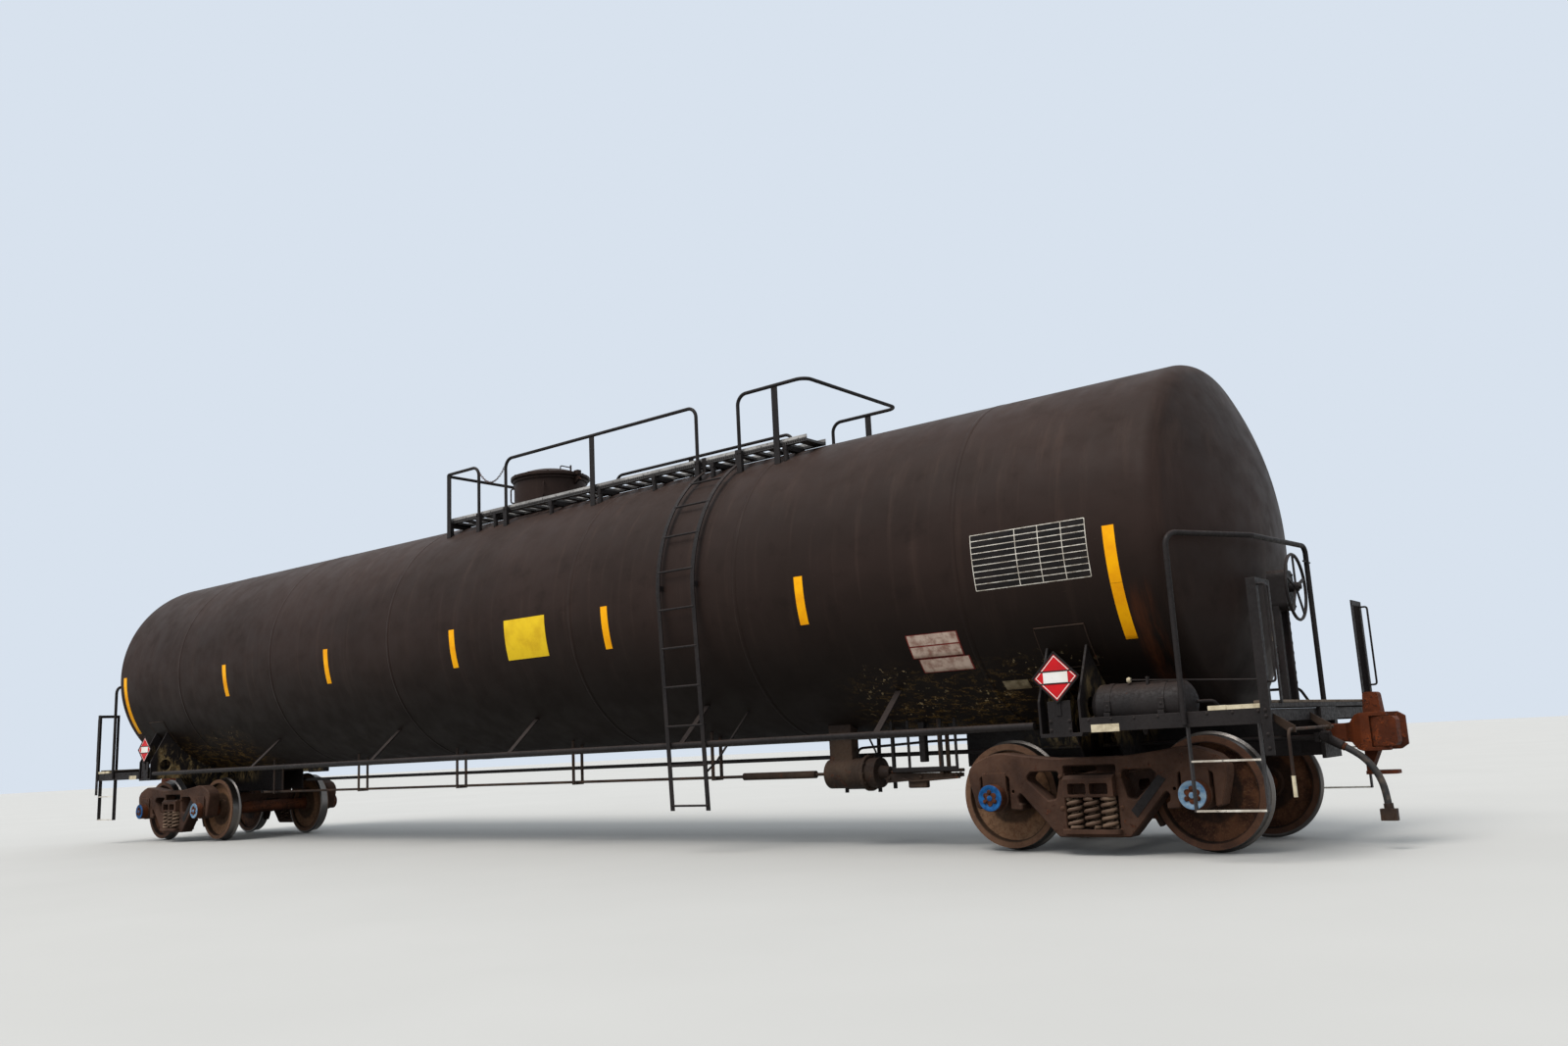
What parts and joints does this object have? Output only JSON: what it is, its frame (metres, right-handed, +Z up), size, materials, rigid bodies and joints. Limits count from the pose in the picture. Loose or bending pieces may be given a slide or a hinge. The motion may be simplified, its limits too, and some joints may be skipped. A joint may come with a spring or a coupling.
{
  "type": "railway tank car",
  "caption": "Long stub-sill railway tank car with a jacketed cylindrical tank, top walkways and handrails, side ladders, hand brake, two four-wheel cast trucks and knuckle couplers.",
  "frame": {"origin": "centre of the car, level with the undersides of the wheel flanges", "axes": "+X along the car towards the hand-brake end, +Y across to the far side, +Z up"},
  "size_m": [19.9996, 3.304, 4.8055],
  "materials": {
    "tank_paint": "satin, dusty black",
    "frame_paint": "satin black",
    "walkway_steel": "weathered grey",
    "cast_rust": "rusty brown casting",
    "wheel_steel": "brown rust, bright tread",
    "axle_steel": "brown rust",
    "coupler_rust": "orange rust",
    "brake_grime": "grimy brown",
    "step_white": "worn white",
    "hose_rubber": "matt black rubber",
    "board_frame": "black frame with a blank red board"
  },
  "bodies": {
    "carbody": {"tank": "tank_paint", "dome_housing": "tank_paint", "handrail_left": "frame_paint", "handrail_right": "frame_paint", "handrail_end_a": "frame_paint", "handrail_end_b": "frame_paint", "walkway_supports": "frame_paint", "side_pipe_left": "frame_paint", "side_pipe_right": "frame_paint", "brake_wheel": "frame_paint", "brake_housing": "frame_paint", "air_reservoir": "frame_paint", "brake_valve": "frame_paint", "valve_plate": "brake_grime", "walkways": "walkway_steel", "brake_cylinder": "brake_grime", "brake_rods": "brake_grime", "train_pipe": "frame_paint", "placards": "board_frame", "uncoupling_levers": "brake_grime", "sill_steps": "step_white", "side_ladder_left": "frame_paint", "side_ladder_right": "frame_paint", "stub_sill_a": "frame_paint", "body_bolster_a": "frame_paint", "end_frame_a": "frame_paint", "end_rail_a": "frame_paint", "corner_stiles_a": "frame_paint", "air_hose_a": "hose_rubber", "hose_coupling_a": "brake_grime", "stub_sill_b": "frame_paint", "body_bolster_b": "frame_paint", "end_frame_b": "frame_paint", "end_rail_b": "frame_paint", "corner_stiles_b": "frame_paint", "air_hose_b": "hose_rubber", "hose_coupling_b": "brake_grime"},
    "lid": {"dome_cover": "tank_paint"},
    "truck_a": {"side_frames_a": "cast_rust", "springs_a": "cast_rust", "truck_bolster_a": "cast_rust", "bearings_a": "cast_rust", "brake_beams_a": "brake_grime"},
    "wheelset_a1": {"wheels_a1": "wheel_steel", "axle_a1": "axle_steel"},
    "wheelset_a2": {"wheels_a2": "wheel_steel", "axle_a2": "axle_steel"},
    "coupler_a": {"coupler_a": "coupler_rust"},
    "knuckle_a": {"knuckle_a": "coupler_rust"},
    "truck_b": {"side_frames_b": "cast_rust", "springs_b": "cast_rust", "truck_bolster_b": "cast_rust", "bearings_b": "cast_rust", "brake_beams_b": "brake_grime"},
    "wheelset_b1": {"wheels_b1": "wheel_steel", "axle_b1": "axle_steel"},
    "wheelset_b2": {"wheels_b2": "wheel_steel", "axle_b2": "axle_steel"},
    "coupler_b": {"coupler_b": "coupler_rust"},
    "knuckle_b": {"knuckle_b": "coupler_rust"}
  },
  "joints": [
    {"name": "lid_hinge", "type": "hinge", "parent": "carbody", "child": "lid", "pos_m": [-0.59, 0, 4.6754], "axis": [0, -1, 0], "range_deg": [0, 100]},
    {"name": "truck_a_swivel", "type": "hinge", "parent": "carbody", "child": "truck_a", "pos_m": [-7.803, 0, 0.6794], "axis": [0, 0, 1], "range_deg": [-8, 8]},
    {"name": "wheelset_a1_turn", "type": "hinge", "parent": "truck_a", "child": "wheelset_a1", "pos_m": [-8.692, 0, 0.4826], "axis": [0, 1, 0], "continuous": true},
    {"name": "wheelset_a2_turn", "type": "hinge", "parent": "truck_a", "child": "wheelset_a2", "pos_m": [-6.914, 0, 0.4826], "axis": [0, 1, 0], "continuous": true},
    {"name": "coupler_a_swing", "type": "hinge", "parent": "carbody", "child": "coupler_a", "pos_m": [-8.87, 0, 0.8994], "axis": [0, 0, 1], "range_deg": [-7, 7]},
    {"name": "knuckle_a_open", "type": "hinge", "parent": "coupler_a", "child": "knuckle_a", "pos_m": [-9.855, 0.118, 0.8994], "axis": [0, 0, -1], "range_deg": [0, 50]},
    {"name": "truck_b_swivel", "type": "hinge", "parent": "carbody", "child": "truck_b", "pos_m": [7.803, 0, 0.6794], "axis": [0, 0, 1], "range_deg": [-8, 8]},
    {"name": "wheelset_b1_turn", "type": "hinge", "parent": "truck_b", "child": "wheelset_b1", "pos_m": [6.914, 0, 0.4826], "axis": [0, 1, 0], "continuous": true},
    {"name": "wheelset_b2_turn", "type": "hinge", "parent": "truck_b", "child": "wheelset_b2", "pos_m": [8.692, 0, 0.4826], "axis": [0, 1, 0], "continuous": true},
    {"name": "coupler_b_swing", "type": "hinge", "parent": "carbody", "child": "coupler_b", "pos_m": [8.87, 0, 0.8994], "axis": [0, 0, 1], "range_deg": [-7, 7]},
    {"name": "knuckle_b_open", "type": "hinge", "parent": "coupler_b", "child": "knuckle_b", "pos_m": [9.855, -0.118, 0.8994], "axis": [0, 0, -1], "range_deg": [0, 50]}
  ]
}
